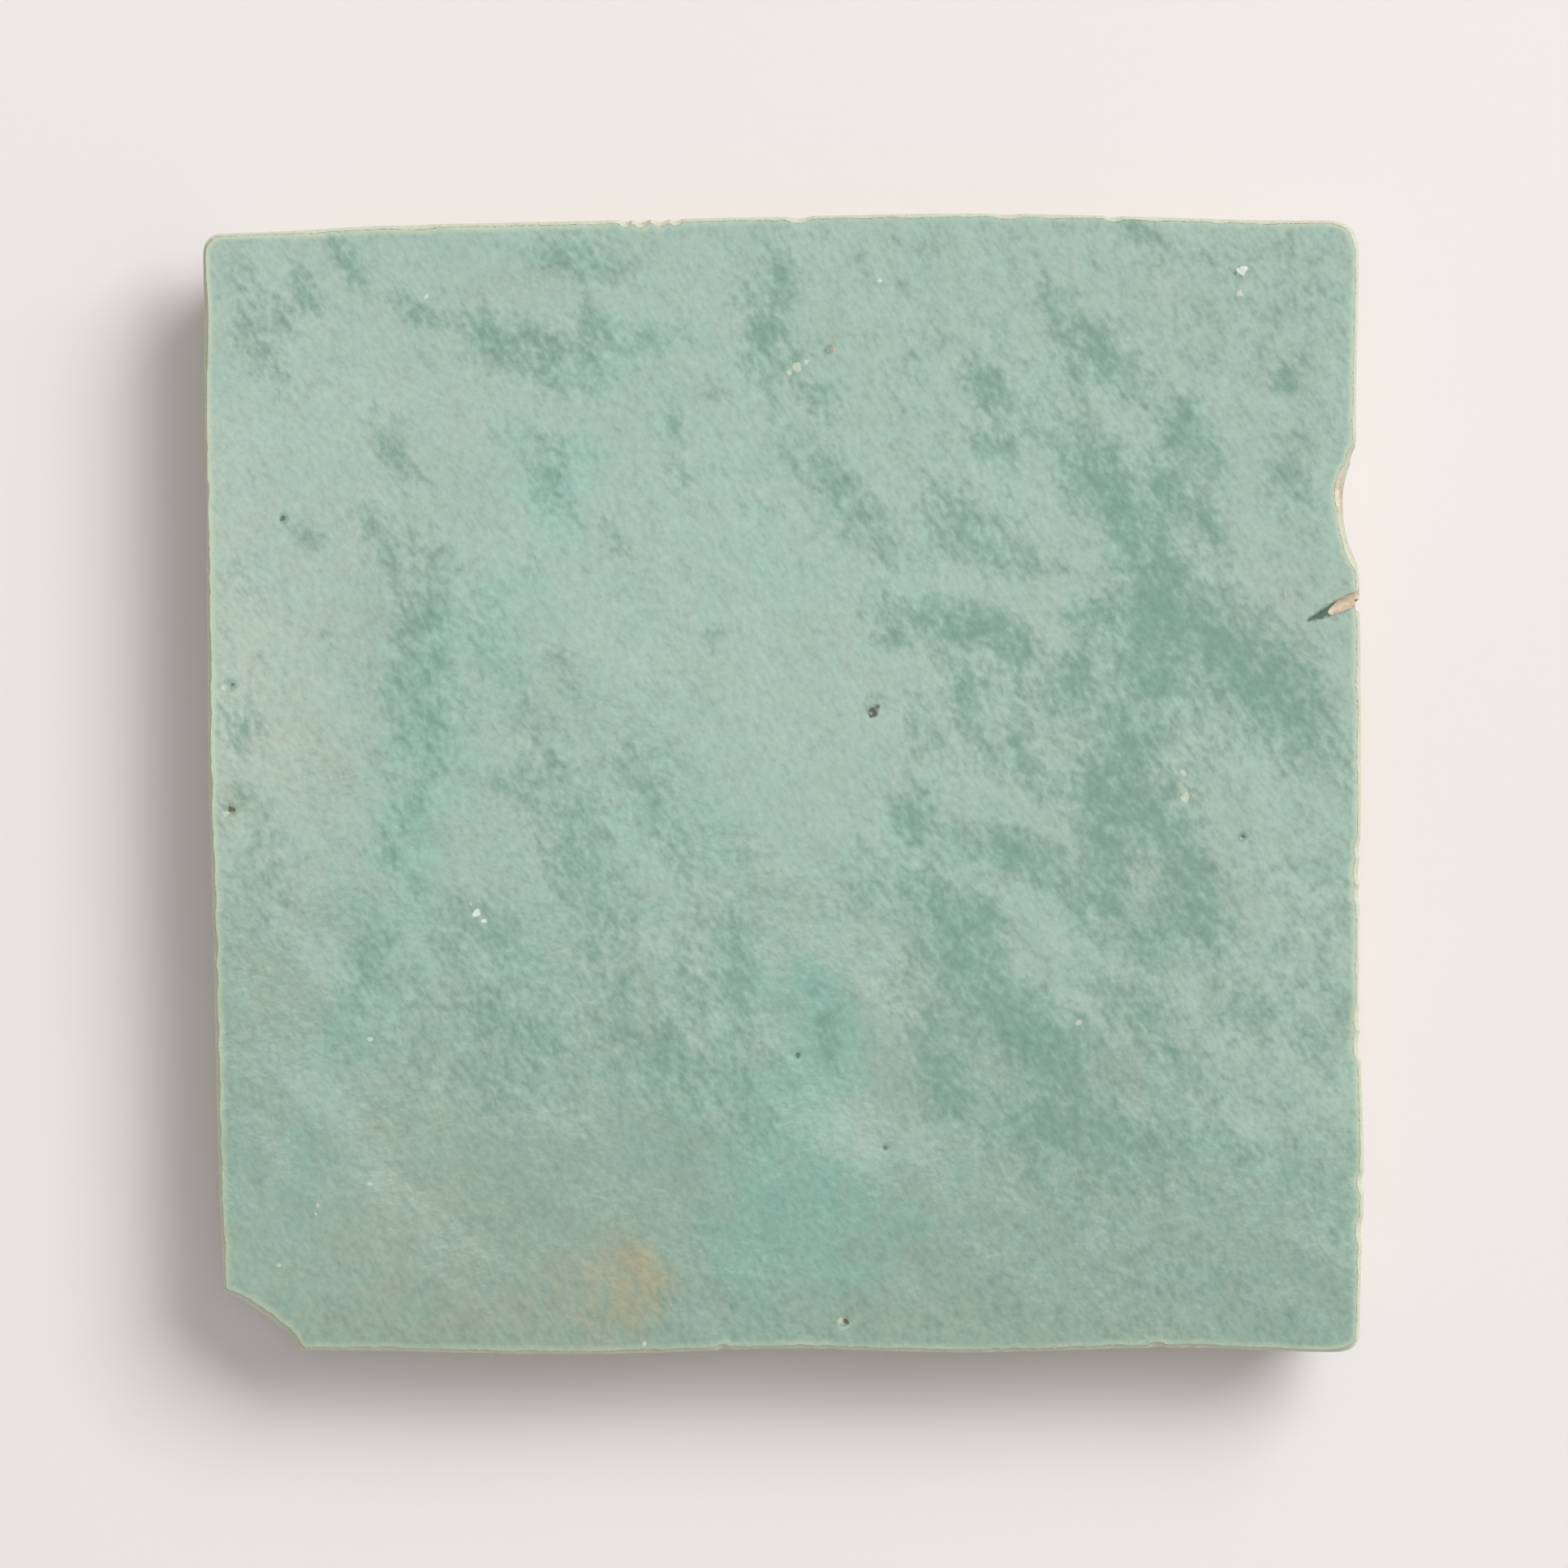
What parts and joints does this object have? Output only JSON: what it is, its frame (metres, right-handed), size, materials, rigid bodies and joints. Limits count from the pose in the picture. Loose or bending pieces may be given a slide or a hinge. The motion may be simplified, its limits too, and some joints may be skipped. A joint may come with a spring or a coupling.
{
  "type": "zellige tile",
  "caption": "Square hand-cut glazed clay tile with a gently waved pale green face, undercut chiselled sides, one broken corner and a notched edge.",
  "frame": {"origin": "middle of the flat back, which is the face that is bedded in mortar", "axes": "+Z out of the glazed face; +X to the right and +Y up, as seen from above with the broken corner at the lower left"},
  "size_m": [0.1018, 0.1, 0.0119],
  "materials": {
    "glazed_clay": "gloss"
  },
  "bodies": {
    "root": {"zellige_tile": "glazed_clay"}
  },
  "joints": []
}
